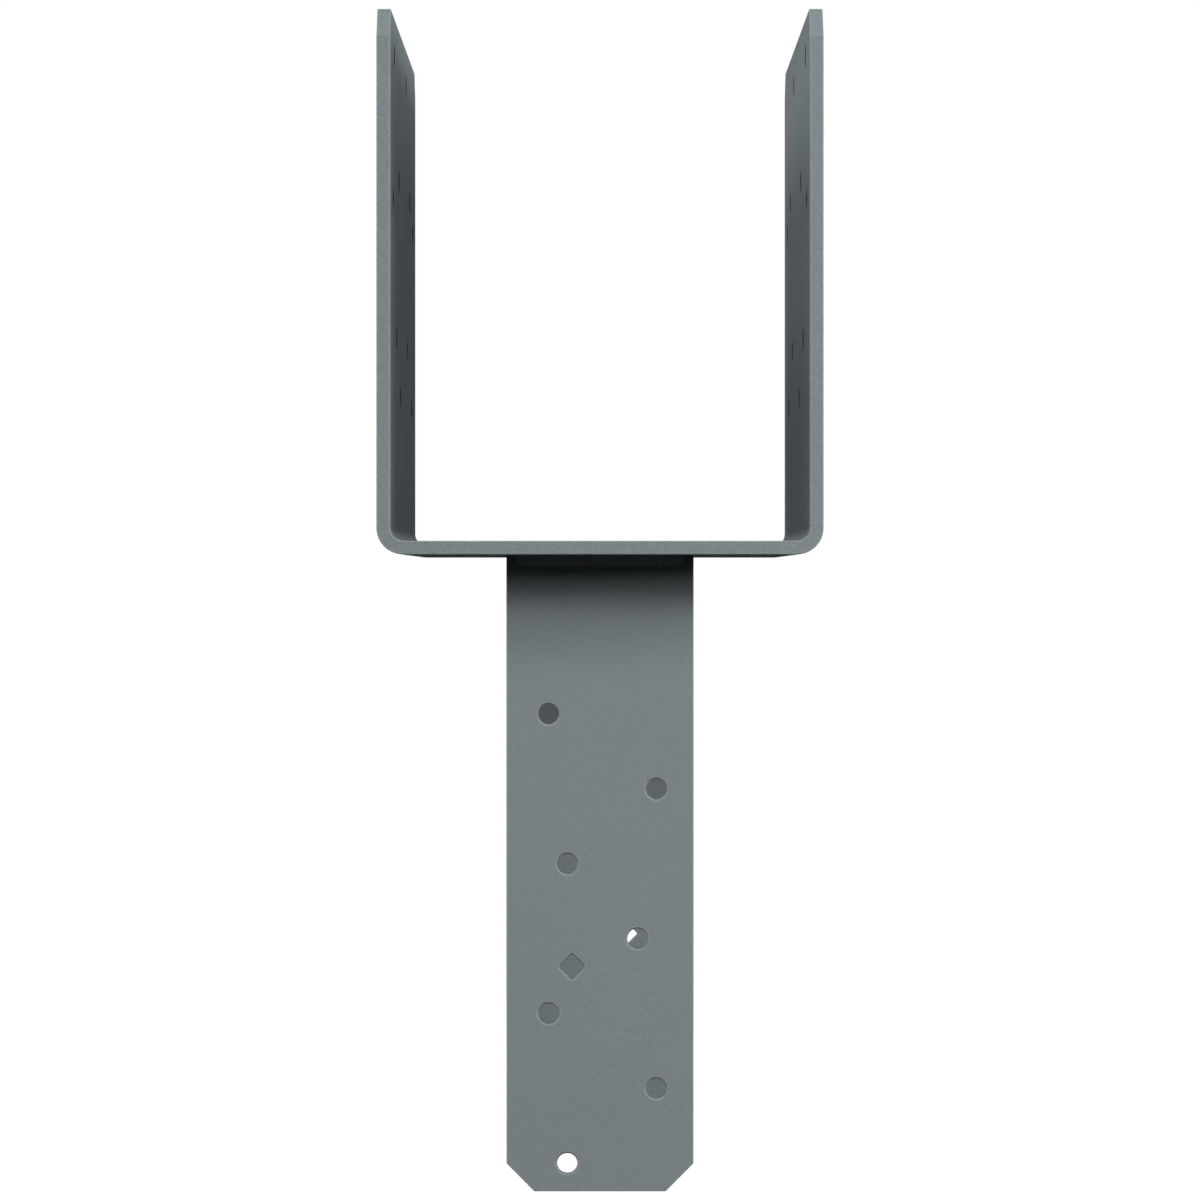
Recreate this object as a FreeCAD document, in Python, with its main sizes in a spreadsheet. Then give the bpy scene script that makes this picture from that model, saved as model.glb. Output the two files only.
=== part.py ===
import FreeCAD, Part
import math
import os
import Sketcher

# Column cap for a timber frame. One plate folded to a U holds the beam. Two flat straps welded under
# its seat clasp the head of the post, and screws go through the punched holes into the timber.
# Frame: origin at the middle of the seat's underside, where the post bears. Z is up, X runs across
# the beam, Y along it, and the front strap is on -Y.

SIZES = [
    # name, millimetres, what it measures
    ("plate", "4.55", "thickness of the 7 gauge plate"),
    ("edge_break", "0.25", "small bevel that breaks the sheared edges"),
    ("rim_break", "0.5", "bevel round the mouths of the punched holes"),
    ("corner_cut", "9.525", "legs of the 45 degree cut on each free corner"),
    ("beam_width", "139.7", "clear width between the side plates"),
    ("side_height", "177.8", "side plates above the top of the seat"),
    ("seat_length", "279.4", "saddle along the beam"),
    ("bend_radius", "4.365625", "inside radius of both bends"),
    ("post_width", "190.5", "clear width between the straps"),
    ("strap_width", "63.5", "strap across"),
    ("strap_length", "215.9", "strap below the seat"),
    ("screw_hole", "6.9", "diameter of every screw hole"),
    ("top_row", "165.1", "screw row above the seat"),
    ("upper_row", "125.4125", "screw row above the seat"),
    ("lower_row", "69.85", "screw row above the seat"),
    ("bottom_row", "50.8", "screw row above the seat"),
    ("outer_far", "95.25", "far screw of the top and bottom rows from mid length"),
    ("outer_near", "30.1625", "near screw of the top and bottom rows from mid length"),
    ("inner_far", "71.4375", "far screw of the upper and lower rows from mid length"),
    ("inner_near", "46.0375", "near screw of the upper and lower rows from mid length"),
    ("strap_first", "9.525", "lowest strap screw above the strap's end"),
    ("strap_pitch", "25.4", "height from one strap screw to the next"),
    ("left_outer", "17.4625", "strap screws left of the middle"),
    ("left_inner", "11.1125", "strap screws left of the middle"),
    ("right_inner", "12.7", "strap screw right of the middle"),
    ("right_outer", "19.05", "strap screws right of the middle"),
    ("pilot_side", "6.35", "side of a diamond pilot hole"),
    ("pilot_corner", "0.8", "rounding of its corners"),
    ("saddle_pilot_row", "115.8875", "pilot holes above the seat"),
    ("saddle_pilot_out", "107.95", "pilot holes from mid length"),
    ("strap_pilot_up", "76.2", "pilot hole above the strap's end"),
    ("strap_pilot_left", "9.525", "pilot hole left of the middle"),
    ("weld_leg", "4", "legs of the fillet welds"),
    ("weld_crown", "0.5", "bulge of a weld's face over its chord"),
    ("weld_inset", "3", "end of a weld short of the strap's edge"),
]
SADDLE_SCREWS = [
    # along the beam, above the seat; each is punched through both side plates
    ("-sizes.outer_far", "sizes.top_row"),
    ("sizes.outer_near", "sizes.top_row"),
    ("-sizes.inner_near", "sizes.upper_row"),
    ("sizes.inner_far", "sizes.upper_row"),
    ("-sizes.inner_far", "sizes.lower_row"),
    ("sizes.inner_near", "sizes.lower_row"),
    ("-sizes.outer_near", "sizes.bottom_row"),
    ("sizes.outer_far", "sizes.bottom_row"),
]
STRAP_SCREWS = [
    # across the strap, from the lowest screw up
    "-sizes.left_inner",
    "sizes.right_outer",
    "-sizes.left_outer",
    "sizes.right_inner",
    "-sizes.left_inner",
    "sizes.right_outer",
    "-sizes.left_outer",
]
HAIR = 0.001

doc = FreeCAD.newDocument("column_cap")
sheet = doc.addObject("Spreadsheet::Sheet", "sizes")
for row, (name, millimetres, meaning) in enumerate(SIZES, start=1):
    sheet.set(f"A{row}", meaning)
    sheet.set(f"B{row}", millimetres)
    sheet.setAlias(f"B{row}", name)
doc.recompute()


def new_body(label):
    body = doc.addObject("PartDesign::Body", label)
    body.Label = label
    return body


def origin_plane(body, role):
    return next(plane for plane in body.Origin.OriginFeatures if plane.Role == role)


def sketch_on(body, role, label):
    """An empty sketch on one of the body's own origin planes."""
    sketch = body.newObject("Sketcher::SketchObject", label)
    sketch.AttachmentSupport = (origin_plane(body, role), [""])
    sketch.MapMode = "FlatFace"
    return sketch


def line(sketch, start, end):
    return sketch.addGeometry(Part.LineSegment(FreeCAD.Vector(*start), FreeCAD.Vector(*end)))


def arc(sketch, centre, radius, start_degrees, end_degrees):
    circle = Part.Circle(FreeCAD.Vector(*centre), FreeCAD.Vector(0, 0, 1), radius)
    bow = Part.ArcOfCircle(circle, math.radians(start_degrees), math.radians(end_degrees))
    return sketch.addGeometry(bow)


def relate(sketch, kind, *where):
    sketch.addConstraint(Sketcher.Constraint(kind, *where))


def measure(sketch, name, expression, kind, *where):
    """A named dimension driven by the sheet; the 1.0 only stands in until the recompute."""
    index = sketch.addConstraint(Sketcher.Constraint(kind, *where, 1.0))
    sketch.renameConstraint(index, name)
    sketch.setExpression(f"Constraints.{name}", expression)


def draw_screw_holes(sketch, centres):
    """Equal circles, each centre given as two expressions."""
    for number, (across, up) in enumerate(centres):
        circle = Part.Circle(FreeCAD.Vector(1, 1, 0), FreeCAD.Vector(0, 0, 1), 1)
        hole = sketch.addGeometry(circle)
        measure(sketch, f"across_{number}", across, "DistanceX", -1, 1, hole, 3)
        measure(sketch, f"up_{number}", up, "DistanceY", -1, 1, hole, 3)
        if number == 0:
            measure(sketch, "hole_size", "sizes.screw_hole", "Diameter", hole)
        else:
            relate(sketch, "Equal", 0, hole)


def draw_diamonds(sketch, centres):
    """Squares standing on a rounded corner, each centre given as two expressions."""
    for number, (across, up) in enumerate(centres):
        tips = [(2, 0), (0, 2), (-2, 0), (0, -2)]
        corners = [arc(sketch, tip, 1, 90 * i - 45, 90 * i + 45) for i, tip in enumerate(tips)]
        slope = math.sqrt(0.5)
        sides = []
        for (x0, y0), (x1, y1), (out_x, out_y) in zip(
            tips, tips[1:] + tips[:1], [(1, 1), (-1, 1), (-1, -1), (1, -1)]
        ):
            start = (x0 + slope * out_x, y0 + slope * out_y)
            end = (x1 + slope * out_x, y1 + slope * out_y)
            sides.append(line(sketch, start, end))
        for corner, side, following in zip(corners, sides, corners[1:] + corners[:1]):
            relate(sketch, "Tangent", corner, 2, side, 1)
            relate(sketch, "Tangent", side, 2, following, 1)
        for corner in corners[1:]:
            relate(sketch, "Equal", corners[0], corner)
        for side, following in zip(sides, sides[1:]):
            relate(sketch, "Perpendicular", side, following)
        relate(sketch, "Equal", sides[0], sides[1])
        relate(sketch, "Horizontal", corners[0], 3, corners[2], 3)
        measure(sketch, f"corner_{number}", "sizes.pilot_corner", "Radius", corners[0])
        measure(sketch, f"flat_{number}", "sizes.pilot_side - 2 * sizes.pilot_corner", "Distance", sides[0])
        measure(sketch, f"across_{number}", across, "DistanceX", -1, 1, corners[1], 3)
        measure(sketch, f"up_{number}", up, "DistanceY", -1, 1, corners[0], 3)


def pad(body, sketch, label, side, expression):
    feature = body.newObject("PartDesign::Pad", label)
    feature.Profile = sketch
    feature.SideType = side
    feature.setExpression("Length", expression)
    doc.recompute()


def punch(body, sketch, label):
    """Cut a sketch through the whole body, both ways from its plane."""
    feature = body.newObject("PartDesign::Pocket", label)
    feature.Profile = sketch
    feature.Type = "ThroughAll"
    feature.SideType = "Symmetric"
    doc.recompute()


def bevel(body, label, is_wanted, expression):
    """Chamfer the edges of the body that is_wanted picks."""
    base = body.Tip
    shape = base.Shape
    names = [f"Edge{i}" for i, edge in enumerate(shape.Edges, start=1) if is_wanted(shape, edge)]
    feature = body.newObject("PartDesign::Chamfer", label)
    feature.Base = (base, names)
    feature.setExpression("Size", expression)
    doc.recompute()


def is_rim(shape, edge):
    """Whether a cut wall and a face of the plate meet squarely in this edge."""
    faces = shape.ancestorsOfType(edge, Part.Face)
    if len(faces) != 2:
        return False
    middle = edge.valueAt((edge.FirstParameter + edge.LastParameter) / 2)
    first, second = [face.normalAt(*face.Surface.parameter(middle)) for face in faces]
    return abs(first.dot(second)) < HAIR


def make_saddle():
    """The U: its section padded along the beam, clipped, punched across and its edges broken."""
    body = new_body("beam_saddle")
    half = sheet.beam_width / 2
    plate = sheet.plate
    bend = sheet.bend_radius
    outer = bend + plate
    top = sheet.side_height + plate
    section = sketch_on(body, "XZ_Plane", "saddle_section")
    wall_left = line(section, (-half, top), (-half, outer))
    bend_left = arc(section, (bend - half, outer), bend, 180, 270)
    seat = line(section, (bend - half, plate), (half - bend, plate))
    bend_right = arc(section, (half - bend, outer), bend, 270, 360)
    wall_right = line(section, (half, outer), (half, top))
    top_right = line(section, (half, top), (half + plate, top))
    back_right = line(section, (half + plate, top), (half + plate, outer))
    round_right = arc(section, (half - bend, outer), outer, 270, 360)
    underside = line(section, (half - bend, 0), (bend - half, 0))
    round_left = arc(section, (bend - half, outer), outer, 180, 270)
    back_left = line(section, (-half - plate, outer), (-half - plate, top))
    top_left = line(section, (-half - plate, top), (-half, top))
    for one, other in [
        ((wall_left, 2), (bend_left, 1)),
        ((bend_left, 2), (seat, 1)),
        ((seat, 2), (bend_right, 1)),
        ((bend_right, 2), (wall_right, 1)),
        ((back_right, 2), (round_right, 2)),
        ((round_right, 1), (underside, 1)),
        ((underside, 2), (round_left, 2)),
        ((round_left, 1), (back_left, 1)),
    ]:
        relate(section, "Tangent", *one, *other)
    for one, other in [
        ((wall_right, 2), (top_right, 1)),
        ((top_right, 2), (back_right, 1)),
        ((back_left, 2), (top_left, 1)),
        ((top_left, 2), (wall_left, 1)),
        ((bend_left, 3), (round_left, 3)),
        ((bend_right, 3), (round_right, 3)),
    ]:
        relate(section, "Coincident", *one, *other)
    for upright in (wall_left, wall_right, back_right, back_left):
        relate(section, "Vertical", upright)
    for level in (underside, top_right, top_left):
        relate(section, "Horizontal", level)
    relate(section, "Symmetric", seat, 1, seat, 2, -2)
    relate(section, "PointOnObject", underside, 1, -1)
    relate(section, "Equal", bend_left, bend_right)
    relate(section, "Equal", wall_left, wall_right)
    measure(section, "bend", "sizes.bend_radius", "Radius", bend_left)
    measure(section, "thickness", "sizes.plate", "DistanceX", top_right, 1, top_right, 2)
    measure(section, "width", "sizes.beam_width", "DistanceX", wall_left, 1, wall_right, 2)
    measure(section, "height", "sizes.side_height", "DistanceY", seat, 2, wall_right, 2)
    pad(body, section, "folded_plate", "Symmetric", "sizes.seat_length")

    def is_top_corner(shape, edge):
        return edge.BoundBox.ZMin > top - HAIR and edge.BoundBox.YLength < HAIR

    bevel(body, "corner_cuts", is_top_corner, "sizes.corner_cut")
    bevel(body, "broken_edges", is_rim, "sizes.edge_break")

    screws = sketch_on(body, "YZ_Plane", "saddle_screws")
    draw_screw_holes(screws, [(along, f"sizes.plate + {up}") for along, up in SADDLE_SCREWS])
    punch(body, screws, "screw_holes")
    pilots = sketch_on(body, "YZ_Plane", "saddle_pilots")
    pilot_up = "sizes.plate + sizes.saddle_pilot_row"
    draw_diamonds(pilots, [(f"{sign}sizes.saddle_pilot_out", pilot_up) for sign in ("-", "")])
    punch(body, pilots, "pilot_holes")
    bevel(body, "hole_rims", is_rim, "sizes.rim_break")
    return body


def make_strap(label):
    """A strap with its inner face on its own XZ plane and its top end at height zero."""
    body = new_body(label)
    half = sheet.strap_width / 2
    low = -sheet.strap_length
    outline = sketch_on(body, "XZ_Plane", "strap_outline")
    corners = [(-half, 0), (-half, low), (half, low), (half, 0)]
    left, end, right, top = [
        line(outline, start, finish) for start, finish in zip(corners, corners[1:] + corners[:1])
    ]
    for side, following in ((left, end), (end, right), (right, top), (top, left)):
        relate(outline, "Coincident", side, 2, following, 1)
    relate(outline, "Vertical", left)
    relate(outline, "Vertical", right)
    relate(outline, "Horizontal", end)
    relate(outline, "Symmetric", top, 2, top, 1, -2)
    relate(outline, "PointOnObject", top, 1, -1)
    measure(outline, "width", "sizes.strap_width", "DistanceX", end, 1, end, 2)
    measure(outline, "length", "sizes.strap_length", "DistanceY", right, 1, right, 2)
    pad(body, outline, "flat_strap", "One side", "sizes.plate")

    def is_end_corner(shape, edge):
        return edge.BoundBox.ZMax < low + HAIR and edge.BoundBox.XLength < HAIR

    bevel(body, "corner_cuts", is_end_corner, "sizes.corner_cut")

    def is_free_rim(shape, edge):
        """The top end stays square, as it butts on the seat."""
        return edge.BoundBox.ZMin < -HAIR and is_rim(shape, edge)

    bevel(body, "broken_edges", is_free_rim, "sizes.edge_break")

    screws = sketch_on(body, "XZ_Plane", "strap_screws")
    first = "sizes.strap_first - sizes.strap_length"
    heights = [f"{first} + {number} * sizes.strap_pitch" for number in range(len(STRAP_SCREWS))]
    draw_screw_holes(screws, list(zip(STRAP_SCREWS, heights)))
    punch(body, screws, "screw_holes")
    pilots = sketch_on(body, "XZ_Plane", "strap_pilot")
    draw_diamonds(pilots, [("-sizes.strap_pilot_left", "sizes.strap_pilot_up - sizes.strap_length")])
    punch(body, pilots, "pilot_hole")
    bevel(body, "hole_rims", is_free_rim, "sizes.rim_break")
    return body


def make_weld(label):
    """A fillet weld in the corner of the strap's outer face and the seat, its two ends tapered."""
    body = new_body(label)
    leg = sheet.weld_leg
    section = sketch_on(body, "YZ_Plane", "weld_section")
    section.setExpression("AttachmentOffset.Base.x", "-sizes.plate")
    on_seat = line(section, (0, 0), (-leg, 0))
    on_strap = line(section, (0, -leg), (0, 0))
    face = arc(section, (0, 0), leg, 180, 270)
    relate(section, "Coincident", on_strap, 2, on_seat, 1)
    relate(section, "Coincident", on_seat, 2, face, 1)
    relate(section, "Coincident", face, 2, on_strap, 1)
    relate(section, "Coincident", on_seat, 1, -1, 1)
    relate(section, "Horizontal", on_seat)
    relate(section, "Vertical", on_strap)
    relate(section, "Equal", on_seat, on_strap)
    measure(section, "leg", "sizes.weld_leg", "Distance", on_seat)
    face_radius = "sizes.weld_leg ^ 2 / (4 * sizes.weld_crown) + sizes.weld_crown / 2"
    measure(section, "face", face_radius, "Radius", face)
    pad(body, section, "weld_bead", "Symmetric", "sizes.strap_width - 2 * sizes.weld_inset")

    def is_end_of_face(shape, edge):
        return edge.Curve.TypeId == "Part::GeomCircle"

    bevel(body, "tapered_ends", is_end_of_face, "sizes.weld_leg / 2")
    return body


def place_at_post(body, turn):
    """Stand a strap or weld on its face of the post, turned about Z."""
    side = "-" if turn == 0 else ""
    body.Placement.Rotation = FreeCAD.Rotation(FreeCAD.Vector(0, 0, 1), turn)
    body.setExpression("Placement.Base.y", f"{side}sizes.post_width / 2")


pieces = [make_saddle()]
for end_name, turn in (("front", 0), ("rear", 180)):
    for piece in (make_strap(f"{end_name}_post_strap"), make_weld(f"{end_name}_strap_weld")):
        place_at_post(piece, turn)
        pieces.append(piece)
doc.recompute()

for item in doc.Objects:
    if "Invalid" in item.State or "Error" in item.State:
        raise RuntimeError(f"{item.Label} did not recompute: {item.State}")
os.makedirs("parts", exist_ok=True)
for piece in pieces:
    if piece.Shape.isNull() or not piece.Shape.isValid() or len(piece.Shape.Solids) != 1:
        raise RuntimeError(f"{piece.Label} is not one sound solid")
    piece.Shape.exportStep(f"parts/{piece.Label}.step")
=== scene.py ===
import bpy
import math
import numpy as np
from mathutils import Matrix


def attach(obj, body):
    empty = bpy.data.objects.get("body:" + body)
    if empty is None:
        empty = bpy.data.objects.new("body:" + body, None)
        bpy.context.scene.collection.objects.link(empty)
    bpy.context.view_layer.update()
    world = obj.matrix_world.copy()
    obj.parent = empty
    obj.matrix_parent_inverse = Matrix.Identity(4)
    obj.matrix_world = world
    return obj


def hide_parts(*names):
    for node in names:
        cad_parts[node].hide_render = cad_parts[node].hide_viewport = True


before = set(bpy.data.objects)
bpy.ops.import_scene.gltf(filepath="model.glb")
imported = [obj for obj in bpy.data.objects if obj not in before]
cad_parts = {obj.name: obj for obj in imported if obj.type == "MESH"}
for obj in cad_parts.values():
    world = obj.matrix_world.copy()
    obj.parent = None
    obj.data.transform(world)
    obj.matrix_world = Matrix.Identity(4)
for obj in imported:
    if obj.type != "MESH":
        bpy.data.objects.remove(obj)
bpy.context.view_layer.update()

# Beam saddle: one 7 gauge steel plate, sheared and punched flat, then folded on a press brake
# to a U that the beam lies in. The whole cap is sprayed with one coat of grey shop paint.
PLATE = 0.00455
BEAM_HALF = 0.06985
# Hole sides lie above the bend, short of the wall's end, below its top and inside its cropped
# corner, where y and z add up to the last of these. The plate's outer edges lie outside them.
BEND_TOP = 0.012
HOLES_END = 0.1357
HOLES_TOP = 0.1783
HOLES_CORNER = 0.3095
FACE_TURN = 0.9
# The paint's tones with their places on the cloudiness, then its marks. Levels are noise values
# between which a mark comes up. The spray grain is drawn a little coarser than real, to show.
PAINT_TONES = (0.15, "#767e81"), (0.5, "#777f82"), (0.85, "#788083")
# Paler tone for scuffs and rims: the scuffs are wear, the rims partly wear and partly painted
# highlight.
WEAR_AND_HIGHLIGHT_TONE = "#a9b1b3"
# Near black painted into the hole sides: painted shade in the holes.
HOLE_SHADE_TONE = "#0c0d0e"
SHINE = 0.04
DULLNESS = 0.88, 1.0
MOTTLE_SIZE = 0.022
DENT_SIZE = 0.0019
DENT_DEPTH = 0.00019
DENT_SHARES = 0.6, 1.4
GRAIN_SIZE = 0.0007
GRAIN_DEPTH = 0.000018
CUT_GRAIN = 4.0
SPECKLE = 0.03
CUT_SPECKLE = 0.4
NOISE_LEVELS = 0.3, 0.7
NOISE_MIDDLE = 0.5
SCUFFS = ((28, 0.0007, 0.009), (76, 0.0008, 0.012), (131, 0.0007, 0.008))
SCUFF_LEVELS = 0.68, 0.82
SCUFF_DEPTH = 0.00002
SCUFF_SHARE = 0.08
PATCH_SIZE = 0.03
PATCH_LEVELS = 0.45, 0.7
RIM_RADIUS = 0.0005
RIM_SAMPLES = 6
RIM_TURNS = 0.995, 0.93


def linear(colour):
    """sRGB hex to the linear RGBA that Blender's sockets take."""
    s = np.array([int(colour[i:i + 2], 16) for i in (1, 3, 5)]) / 255
    rgb = np.where(s <= 0.04045, s / 12.92, ((s + 0.055) / 1.055) ** 2.4)
    return (*rgb.tolist(), 1.0)


def add(tree, kind, inputs=(), **settings):
    """Add a shader node, set its properties, and fill its inputs with values or links."""
    made = tree.nodes.new("ShaderNode" + kind)
    for name, value in settings.items():
        setattr(made, name, value)
    for name, value in dict(inputs).items():
        if isinstance(value, bpy.types.NodeSocket):
            tree.links.new(value, made.inputs[name])
        else:
            made.inputs[name].default_value = value
    return made


def grey_shop_paint(name, lay_flat):
    """Flat grey shop paint sprayed on hot rolled plate: a dull film, hardly any shine, that shows
    the plate's small dents, a fine spray grain, faint cloudiness, short scuffs from stacking and
    rims painted a little paler, partly rubbed wear and partly a painted highlight. lay_flat gives
    the place in the flat blank, so the marks run round the bends, how far the surface is a cut
    edge, which is torn rougher than a rolled face, and the hole sides, painted near black as
    painted shade."""
    material = bpy.data.materials.new(name)
    material.use_nodes = True
    tree = material.node_tree
    tree.nodes.clear()
    spot = add(tree, "TexCoord").outputs["Object"]
    place = add(tree, "SeparateXYZ", {"Vector": spot}).outputs
    facing = add(tree, "NewGeometry").outputs["Normal"]
    either_way = add(tree, "VectorMath", {0: facing}, operation="ABSOLUTE").outputs["Vector"]
    turned = add(tree, "SeparateXYZ", {"Vector": either_way}).outputs
    blank, cut, hole_shade = lay_flat(tree, place, turned)

    noises = {}
    for mark, size, detail, crisp in (
        ("mottle", MOTTLE_SIZE, 3.0, 0.5),
        ("dent", DENT_SIZE, 3.0, 0.65),
        ("grain", GRAIN_SIZE, 1.0, 0.5),
        ("patch", PATCH_SIZE, 1.0, 0.5),
    ):
        settings = {"Vector": blank, "Scale": 1 / size, "Detail": detail, "Roughness": crisp}
        noises[mark] = add(tree, "TexNoise", settings).outputs["Fac"]
    scuffs = []
    for degrees, width, length in SCUFFS:
        drawn_out = add(tree, "Mapping", {
            "Vector": blank,
            "Rotation": (0, 0, math.radians(degrees)),
            "Scale": (length, width, width),
        }, vector_type="TEXTURE")
        streak = add(tree, "TexNoise", {
            "Vector": drawn_out.outputs["Vector"], "Scale": 1.0, "Detail": 1.0,
        })
        scuffs.append(add(tree, "MapRange", {
            "Value": streak.outputs["Fac"],
            "From Min": SCUFF_LEVELS[0], "From Max": SCUFF_LEVELS[1],
        }).outputs["Result"])
    first_two = add(tree, "Math", {0: scuffs[0], 1: scuffs[1]}, operation="MAXIMUM")
    all_scuffs = add(tree, "Math", {0: first_two.outputs[0], 1: scuffs[2]}, operation="MAXIMUM")
    patches = add(tree, "MapRange", {
        "Value": noises["patch"], "From Min": PATCH_LEVELS[0], "From Max": PATCH_LEVELS[1],
    })
    scuff = add(tree, "Math", {
        0: all_scuffs.outputs[0], 1: patches.outputs["Result"],
    }, operation="MULTIPLY").outputs[0]

    tones = add(tree, "ValToRGB", {"Fac": noises["mottle"]})
    ramp = tones.color_ramp.elements
    ramp.new(NOISE_MIDDLE)
    for stop, (level, tone) in zip(ramp, PAINT_TONES):
        stop.position = level
        stop.color = linear(tone)
    # Rims painted paler all round: partly rubbed wear, partly a painted highlight on the rounded
    # edges.
    rounded = add(tree, "Bevel", {"Radius": RIM_RADIUS}, samples=RIM_SAMPLES).outputs["Normal"]
    alike = add(tree, "VectorMath", {0: rounded, 1: facing}, operation="DOT_PRODUCT")
    rim = add(tree, "MapRange", {
        "Value": alike.outputs["Value"], "From Min": RIM_TURNS[0], "From Max": RIM_TURNS[1],
    }).outputs["Result"]
    rubbed_and_highlit = add(tree, "Math", {0: rim, 1: noises["dent"]}, operation="MULTIPLY")
    wear_and_highlight = add(tree, "Math", {
        0: scuff, 1: SCUFF_SHARE, 2: rubbed_and_highlit.outputs[0],
    }, operation="MULTIPLY_ADD")
    colour = add(tree, "MixRGB", {
        "Fac": wear_and_highlight.outputs[0], "Color1": tones.outputs["Color"], "Color2": linear(WEAR_AND_HIGHLIGHT_TONE),
    })
    uneven = add(tree, "Math", {0: noises["grain"], 1: NOISE_MIDDLE}, operation="SUBTRACT")
    strength = add(tree, "MapRange", {"Value": cut, "To Min": SPECKLE, "To Max": CUT_SPECKLE})
    speckle = add(tree, "Math", {
        0: uneven.outputs[0], 1: strength.outputs["Result"], 2: 1.0,
    }, operation="MULTIPLY_ADD")
    colour = add(tree, "HueSaturation", {
        "Value": speckle.outputs[0], "Color": colour.outputs["Color"],
    })
    # Hole sides painted near black: painted shade where little light reaches.
    if hole_shade:
        colour = add(tree, "MixRGB", {
            "Fac": hole_shade, "Color1": colour.outputs["Color"], "Color2": linear(HOLE_SHADE_TONE),
        })
    rough = add(tree, "MapRange", {
        "Value": noises["grain"],
        "From Min": NOISE_LEVELS[0], "From Max": NOISE_LEVELS[1],
        "To Min": DULLNESS[0], "To Max": DULLNESS[1],
    })

    handled = add(tree, "MapRange", {
        "Value": noises["patch"],
        "From Min": NOISE_LEVELS[0], "From Max": NOISE_LEVELS[1],
        "To Min": DENT_SHARES[0] * DENT_DEPTH, "To Max": DENT_SHARES[1] * DENT_DEPTH,
    })
    dents = add(tree, "Math", {
        0: noises["dent"], 1: handled.outputs["Result"],
    }, operation="MULTIPLY")
    torn = add(tree, "MapRange", {
        "Value": cut, "To Min": GRAIN_DEPTH, "To Max": GRAIN_DEPTH * (1 + CUT_GRAIN),
    })
    with_grain = add(tree, "Math", {
        0: noises["grain"], 1: torn.outputs["Result"], 2: dents.outputs[0],
    }, operation="MULTIPLY_ADD")
    relief = add(tree, "Math", {
        0: scuff, 1: -SCUFF_DEPTH, 2: with_grain.outputs[0],
    }, operation="MULTIPLY_ADD")
    bump = add(tree, "Bump", {"Height": relief.outputs[0], "Distance": 1.0})
    paint = add(tree, "BsdfPrincipled", {
        "Base Color": colour.outputs["Color"],
        "Roughness": rough.outputs["Result"],
        "Normal": bump.outputs["Normal"],
        "Specular IOR Level": SHINE,
    })
    add(tree, "OutputMaterial", {"Surface": paint.outputs["BSDF"]})
    return material


def flat_saddle(tree, place, turned):
    """Unfold the U: across the blank is x held at the wall, plus or minus the height over the
    seat; along it is y; through it is the depth in the seat or in the wall. Its cut edges face
    along y. A hole's side is a surface turned from the wall's face, above the bend and inside
    the margins in y, in z, and in y plus z for the cropped corners."""
    held = add(tree, "Clamp", {"Value": place["X"], "Min": -BEAM_HALF, "Max": BEAM_HALF})
    side = add(tree, "Math", {0: place["X"]}, operation="SIGN")
    above = add(tree, "Math", {0: place["Z"], 1: PLATE}, operation="SUBTRACT")
    height = add(tree, "Math", {0: above.outputs[0], 1: 0.0}, operation="MAXIMUM")
    across = add(tree, "Math", {
        0: side.outputs[0], 1: height.outputs[0], 2: held.outputs["Result"],
    }, operation="MULTIPLY_ADD")
    in_seat = add(tree, "Math", {0: place["Z"], 1: PLATE}, operation="MINIMUM")
    past = add(tree, "Math", {0: place["X"], 1: held.outputs["Result"]}, operation="SUBTRACT")
    through = add(tree, "Math", {
        0: side.outputs[0], 1: past.outputs[0], 2: in_seat.outputs[0],
    }, operation="MULTIPLY_ADD")
    blank = add(tree, "CombineXYZ", {
        "X": across.outputs[0], "Y": place["Y"], "Z": through.outputs[0],
    })
    along = add(tree, "Math", {0: place["Y"]}, operation="ABSOLUTE").outputs[0]
    to_corner = add(tree, "Math", {0: along, 1: place["Z"]}, operation="ADD").outputs[0]
    in_wall = add(tree, "Math", {0: place["Z"], 1: BEND_TOP}, operation="GREATER_THAN")
    in_hole = in_wall.outputs[0]
    for measure, margin in (
        (turned["X"], FACE_TURN),
        (along, HOLES_END),
        (place["Z"], HOLES_TOP),
        (to_corner, HOLES_CORNER),
    ):
        within = add(tree, "Math", {0: measure, 1: margin}, operation="LESS_THAN")
        in_hole = add(tree, "Math", {
            0: in_hole, 1: within.outputs[0],
        }, operation="MULTIPLY").outputs[0]
    # The hole side mask is where the near black painted shade goes.
    return blank.outputs["Vector"], turned["Y"], in_hole


saddle_paint = grey_shop_paint("grey_shop_paint_on_folded_plate", flat_saddle)
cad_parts["beam_saddle"].material_slots[0].material = saddle_paint

# Post straps: two flat bars of the same plate, cropped at the lower corners and punched, standing
# square under the seat. The rear one is the front one turned round.


def flat_strap(tree, place, turned):
    """A strap is flat already: x across it, z along it and y through it. Its faces face along y,
    and no shade is painted in its holes."""
    blank = add(tree, "CombineXYZ", {"X": place["X"], "Y": place["Z"], "Z": place["Y"]})
    cut = add(tree, "Math", {0: 1.0, 1: turned["Y"]}, operation="SUBTRACT")
    return blank.outputs["Vector"], cut.outputs[0], None


strap_paint = grey_shop_paint("grey_shop_paint_on_flat_strap", flat_strap)
for strap in ("front_post_strap", "rear_post_strap"):
    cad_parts[strap].material_slots[0].material = strap_paint

# Strap welds: one fillet weld along the outer corner of each strap and the seat, laid by a wire
# welder, so its face is a row of crescent ripples. It is painted over with the rest.
STRAP_FACE = 0.0998
WELD_LEG = 0.004
WELD_HALF = 0.02875
WELD_CROWN = 0.0005
RIPPLE_PITCH = 0.0021
RIPPLE_HEIGHT = 0.0001
RIPPLE_BOW = 0.0016
RIPPLE_STRAY = 0.35
RIPPLE_LEAN = 0.35
TOE_WANDER = 0.00025
TOE_WAVES = 0.0213, 0.0091, 0.0047


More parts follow.
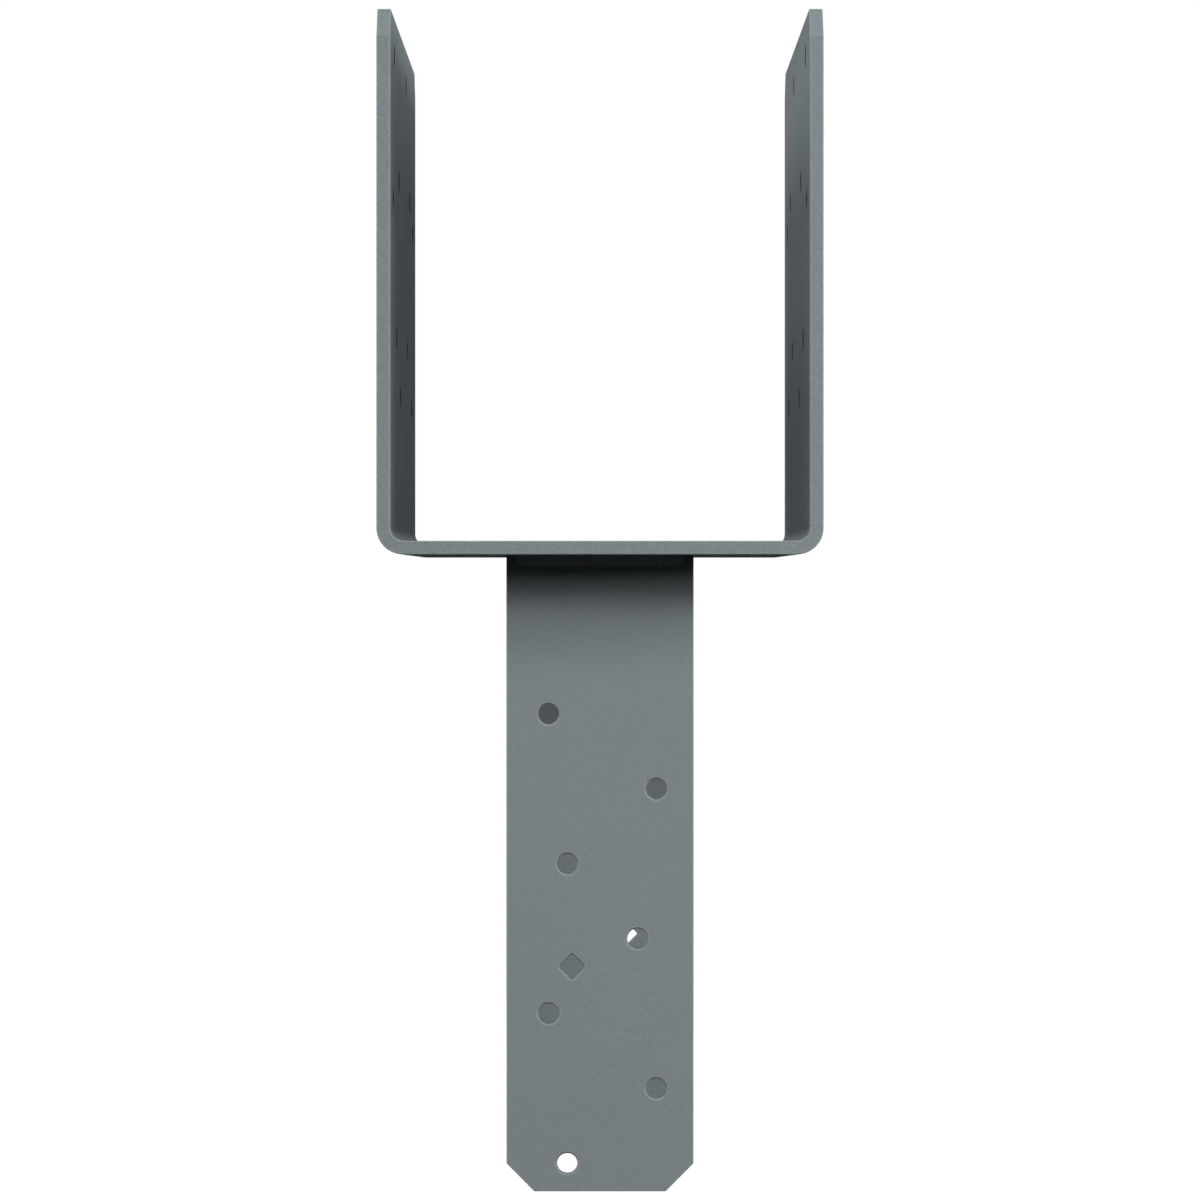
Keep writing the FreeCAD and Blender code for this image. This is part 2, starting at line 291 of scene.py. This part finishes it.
def weld_bead(name, turn, seed):
    """A bead along X. At each station its section runs from the toe on the seat to the toe on the
    strap along a chord, swollen by the crown as a parabola and by ripples whose phase is
    x plus a bow across the face, and closes over the corner. Legs shrink to nothing at the ends
    as a quarter circle. turn is 1 in front and -1 for the same bead turned half round behind."""
    rng = np.random.default_rng(seed)
    stations, around = 420, 22
    along = np.linspace(-1, 1, stations + 2)[1:-1, None]
    x = WELD_HALF * along
    v = np.linspace(0, 1, around)[None, :]
    wander = sum(
        np.sin(x * 2 * np.pi / wave + rng.uniform(0, 2 * np.pi)) for wave in TOE_WAVES
    ) / len(TOE_WAVES)
    to_end = np.clip((np.abs(x) - WELD_HALF + WELD_LEG) / WELD_LEG, 0, 1)
    leg = (WELD_LEG + TOE_WANDER * (wander - 1)) * np.sqrt(1 - to_end ** 2)
    arch = 4 * v * (1 - v)
    pace = x + RIPPLE_STRAY * RIPPLE_PITCH * wander + RIPPLE_BOW * arch
    phase = 2 * np.pi * pace / RIPPLE_PITCH
    ripple = np.sin(phase) + RIPPLE_LEAN * np.sin(2 * phase)
    swell = leg / WELD_LEG * arch * (WELD_CROWN + RIPPLE_HEIGHT * ripple)
    out = leg * (1 - v) + swell * math.sqrt(0.5)
    down = leg * v + swell * math.sqrt(0.5)
    corner = np.zeros((stations, 1))
    out = np.hstack([out, corner])
    down = np.hstack([down, corner])
    ring = around + 1
    rows = np.stack([
        turn * np.broadcast_to(x, out.shape), -turn * (STRAP_FACE + out), -down,
    ], axis=-1)
    poles = np.array([[turn * end * WELD_HALF, -turn * STRAP_FACE, 0] for end in (-1, 1)])
    points = np.vstack([rows.reshape(-1, 3), poles])
    i, j = np.meshgrid(np.arange(stations - 1), np.arange(ring), indexing="ij")
    k = (j + 1) % ring
    quads = np.stack([
        i * ring + j, i * ring + k, (i + 1) * ring + k, (i + 1) * ring + j,
    ], axis=-1)
    on_ring = np.arange(ring)
    next_on_ring = (on_ring + 1) % ring
    last = (stations - 1) * ring
    start_pole = np.full(ring, stations * ring)
    start = np.stack([start_pole, next_on_ring, on_ring], axis=-1)
    end = np.stack([start_pole + 1, last + on_ring, last + next_on_ring], axis=-1)
    mesh = bpy.data.meshes.new(name)
    faces = quads.reshape(-1, 4).tolist() + start.tolist() + end.tolist()
    mesh.from_pydata(points.tolist(), [], faces)
    mesh.shade_smooth()
    bead = bpy.data.objects.new(name, mesh)
    bpy.context.scene.collection.objects.link(bead)
    return bead


weld_paint = grey_shop_paint("grey_shop_paint_on_weld_bead", flat_strap)
for end, turn, seed in (("front", 1, 3), ("rear", -1, 8)):
    bead = weld_bead(f"{end}_weld_bead", turn, seed)
    bead.data.materials.append(weld_paint)
    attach(bead, "root")
    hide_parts(f"{end}_strap_weld")

# Studio: the cap stands on its strap ends on a white floor that runs out to a white surround.
# The floor is white to the camera with the cap's shadow on it, and dark to the light it would
# bounce, because the photographed cap is nearly black underneath.
FLOOR_LEVEL = -0.2159
FLOOR_HALF = 6.0
SHADOW_FADES = 0.35, 1.0
PAPER_WHITE = "#ffffff"
PAPER_SHADED = "#cbcbcb"
PAPER_BOUNCE = "#303030"
PAPER_GLOW = 0.75
SURROUND_LIGHT = 0.012


def seen(tree):
    """1 for what the eye, a reflection or a view through glass meets, 0 for bounced light."""
    path = add(tree, "LightPath").outputs
    looked = add(tree, "Math", {
        0: path["Is Camera Ray"], 1: path["Is Glossy Ray"],
    }, operation="MAXIMUM")
    return add(tree, "Math", {
        0: looked.outputs[0], 1: path["Is Transmission Ray"],
    }, operation="MAXIMUM").outputs[0]


floor_mesh = bpy.data.meshes.new("studio_floor")
corners = np.array([(-1, -1), (1, -1), (1, 1), (-1, 1)]) * FLOOR_HALF
floor_mesh.from_pydata([(x, y, FLOOR_LEVEL) for x, y in corners], [], [(0, 1, 2, 3)])
floor = bpy.data.objects.new("studio_floor", floor_mesh)
bpy.context.scene.collection.objects.link(floor)
floor_paper = bpy.data.materials.new("white_paper_sweep")
floor_paper.use_nodes = True
tree = floor_paper.node_tree
tree.nodes.clear()
glow = add(tree, "Emission", {"Color": linear(PAPER_WHITE), "Strength": PAPER_GLOW})
shaded = add(tree, "BsdfDiffuse", {"Color": linear(PAPER_SHADED)})
shadowed = add(tree, "AddShader", {0: glow.outputs[0], 1: shaded.outputs[0]})
white = add(tree, "Emission", {"Color": linear(PAPER_WHITE), "Strength": 1.0})
spot = add(tree, "TexCoord").outputs["Object"]
on_floor = add(tree, "VectorMath", {0: spot, 1: (1, 1, 0)}, operation="MULTIPLY")
away = add(tree, "VectorMath", {0: on_floor.outputs["Vector"]}, operation="LENGTH")
fade = add(tree, "MapRange", {
    "Value": away.outputs["Value"], "From Min": SHADOW_FADES[0], "From Max": SHADOW_FADES[1],
}, interpolation_type="SMOOTHSTEP")
paper = add(tree, "MixShader", {
    0: fade.outputs["Result"], 1: shadowed.outputs[0], 2: white.outputs[0],
})
dark = add(tree, "BsdfDiffuse", {"Color": linear(PAPER_BOUNCE)})
both = add(tree, "MixShader", {0: seen(tree), 1: dark.outputs[0], 2: paper.outputs[0]})
add(tree, "OutputMaterial", {"Surface": both.outputs[0]})
floor_mesh.materials.append(floor_paper)

world = bpy.data.worlds.new("white_surround")
bpy.context.scene.world = world
world.use_nodes = True
tree = world.node_tree
tree.nodes.clear()
strength = add(tree, "MapRange", {
    "Value": seen(tree), "To Min": SURROUND_LIGHT, "To Max": 1.0,
})
surround = add(tree, "Background", {
    "Color": linear(PAPER_WHITE), "Strength": strength.outputs["Result"],
})
add(tree, "OutputWorld", {"Surface": surround.outputs[0]})

# Light: oval softboxes left, right and above in front. The right and upper ones are feathered,
# which is turned past the cap, so that their light falls off gently from right to left. Side
# lamps fill the U and the gap between the straps, and the one behind is high and narrow. Each is
# placed by its bearing from the front, its height angle and its distance from the seat's middle.
SOFTBOXES = (
    # name, bearing, height, distance, width, tall, turned past, watts
    ("front_left_box", -20, 20, 2.4, 0.5, 0.6, 0, 15),
    ("front_right_box", 20, 20, 2.4, 1.2, 0.6, 70, 43),
    ("upper_box", 0, 36, 2.6, 1.2, 0.4, 70, 35),
    ("low_left_box", -20, 10, 2.6, 0.5, 0.3, 0, 8),
    ("near_right_box", 70, 22, 1.0, 0.4, 0.3, 0, 2.2),
    ("top_left_box", -80, 40, 2.4, 0.8, 0.6, 0, 10),
    ("left_box", -95, 20, 2.4, 1.6, 0.7, 0, 24),
    ("right_box", 84, 8, 2.4, 0.25, 0.3, 0, 25),
    ("back_box", 180, 45, 2.6, 0.2, 0.8, 0, 24),
)
for name, bearing, height, distance, width, tall, turned_past, watts in SOFTBOXES:
    lamp = bpy.data.lights.new(name, "AREA")
    lamp.shape = "ELLIPSE"
    lamp.size = width
    lamp.size_y = tall
    lamp.energy = watts
    box = bpy.data.objects.new(name, lamp)
    bpy.context.scene.collection.objects.link(box)
    a, h = math.radians(bearing), math.radians(height)
    box.location = (
        distance * math.sin(a) * math.cos(h),
        -distance * math.cos(a) * math.cos(h),
        distance * math.sin(h),
    )
    box.rotation_euler = (math.radians(90) - h, 0, a - math.radians(turned_past))

# Camera: level and square to the front, a long lens about two metres off, shifted down a little
# as the photograph is framed.
CAMERA_BACK = 2.1783
CAMERA_HEIGHT = -0.00885
FOCAL_PIXELS = 6128.7
FRAME_PIXELS = 1200
SENSOR = 36.0
AXIS_ABOVE_MIDDLE = 18.95
lens = bpy.data.cameras.new("front_camera")
lens.sensor_width = SENSOR
lens.lens = FOCAL_PIXELS * SENSOR / FRAME_PIXELS
lens.shift_y = -AXIS_ABOVE_MIDDLE / FRAME_PIXELS
camera = bpy.data.objects.new("front_camera", lens)
camera.location = (0, -CAMERA_BACK, CAMERA_HEIGHT)
camera.rotation_euler = (math.radians(90), 0, 0)
bpy.context.scene.collection.objects.link(camera)
bpy.context.scene.camera = camera
bpy.context.scene.view_settings.view_transform = "Standard"
